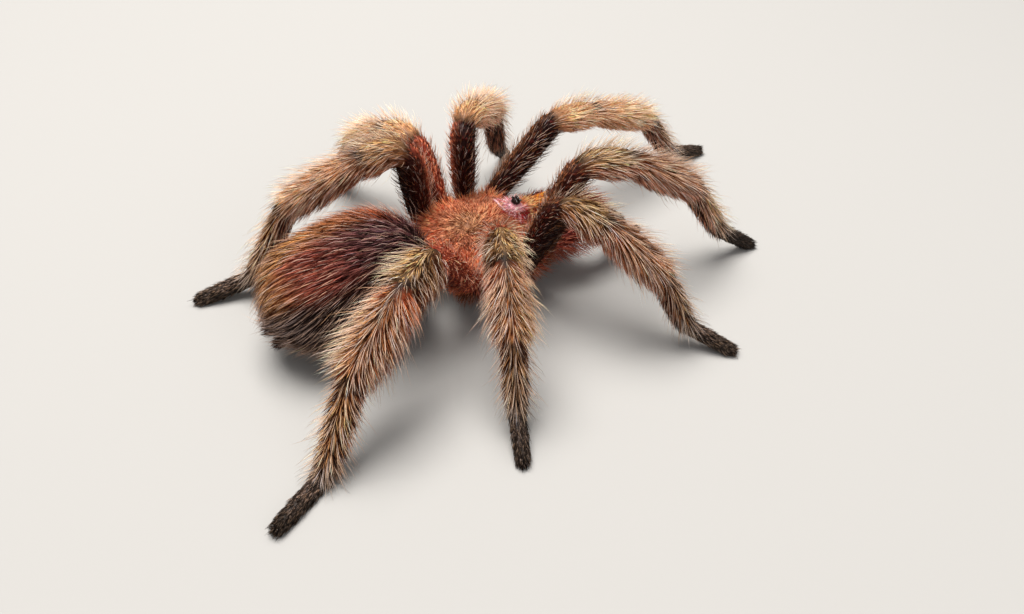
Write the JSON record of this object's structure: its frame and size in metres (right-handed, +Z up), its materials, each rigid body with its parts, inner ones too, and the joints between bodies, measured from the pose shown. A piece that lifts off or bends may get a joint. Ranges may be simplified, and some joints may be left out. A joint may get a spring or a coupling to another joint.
{
  "type": "tarantula",
  "caption": "Life-size hairy tarantula, reddish brown, standing with arched legs and a rounded abdomen, as a still museum-style model.",
  "frame": {"origin": "on the floor, under the middle of the bounding box", "axes": "+Z up from the floor, -Y the way the spider faces, +X the spider's left"},
  "size_m": [0.0866, 0.1086, 0.0285],
  "materials": {
    "carapace_velvet": "short coppery velvet with a swirl of grooves, salmon round the eyes",
    "eye_black": "glossy black",
    "abdomen_hair": "long backward hair, maroon in the middle, gold at the rim and rear, pale low on the sides",
    "underside_velvet": "short dark brown velvet, red-orange where the legs start",
    "femur_hair": "dark maroon short hair with a red-orange fringe on top",
    "patella_hair": "tan hair, dark underneath",
    "tibia_hair": "tan and pinkish brown hair with long pale tips standing out",
    "metatarsus_hair": "brown-tan hair, denser and shorter",
    "tarsus_velvet": "short charcoal velvet",
    "chelicera_hair": "deep red forward-lying hair, golden on top",
    "fang_horn": "glossy black horn",
    "spinneret_velvet": "short dark velvet"
  },
  "bodies": {
    "root": {"carapace": "carapace_velvet", "eye_mound": "eye_black", "abdomen": "abdomen_hair", "underside": "underside_velvet", "chelicera_left": "chelicera_hair", "chelicera_right": "chelicera_hair", "fang_left": "fang_horn", "fang_right": "fang_horn", "spinneret_left": "spinneret_velvet", "spinneret_right": "spinneret_velvet", "leg_right_1_femur": "femur_hair", "leg_right_1_patella": "patella_hair", "leg_right_1_tibia": "tibia_hair", "leg_right_1_metatarsus": "metatarsus_hair", "leg_right_1_tarsus": "tarsus_velvet", "leg_right_2_femur": "femur_hair", "leg_right_2_patella": "patella_hair", "leg_right_2_tibia": "tibia_hair", "leg_right_2_metatarsus": "metatarsus_hair", "leg_right_2_tarsus": "tarsus_velvet", "leg_right_3_femur": "femur_hair", "leg_right_3_patella": "patella_hair", "leg_right_3_tibia": "tibia_hair", "leg_right_3_metatarsus": "metatarsus_hair", "leg_right_3_tarsus": "tarsus_velvet", "leg_right_4_femur": "femur_hair", "leg_right_4_patella": "patella_hair", "leg_right_4_tibia": "tibia_hair", "leg_right_4_metatarsus": "metatarsus_hair", "leg_right_4_tarsus": "tarsus_velvet", "leg_left_1_femur": "femur_hair", "leg_left_1_patella": "patella_hair", "leg_left_1_tibia": "tibia_hair", "leg_left_1_metatarsus": "metatarsus_hair", "leg_left_1_tarsus": "tarsus_velvet", "leg_left_2_femur": "femur_hair", "leg_left_2_patella": "patella_hair", "leg_left_2_tibia": "tibia_hair", "leg_left_2_metatarsus": "metatarsus_hair", "leg_left_2_tarsus": "tarsus_velvet", "leg_left_3_femur": "femur_hair", "leg_left_3_patella": "patella_hair", "leg_left_3_tibia": "tibia_hair", "leg_left_3_metatarsus": "metatarsus_hair", "leg_left_3_tarsus": "tarsus_velvet", "leg_left_4_femur": "femur_hair", "leg_left_4_patella": "patella_hair", "leg_left_4_tibia": "tibia_hair", "leg_left_4_metatarsus": "metatarsus_hair", "leg_left_4_tarsus": "tarsus_velvet", "palp_left_femur": "femur_hair", "palp_left_patella": "patella_hair", "palp_left_tibia": "tibia_hair", "palp_left_tarsus": "tarsus_velvet", "palp_right_femur": "femur_hair", "palp_right_patella": "patella_hair", "palp_right_tibia": "tibia_hair", "palp_right_tarsus": "tarsus_velvet"}
  },
  "joints": []
}
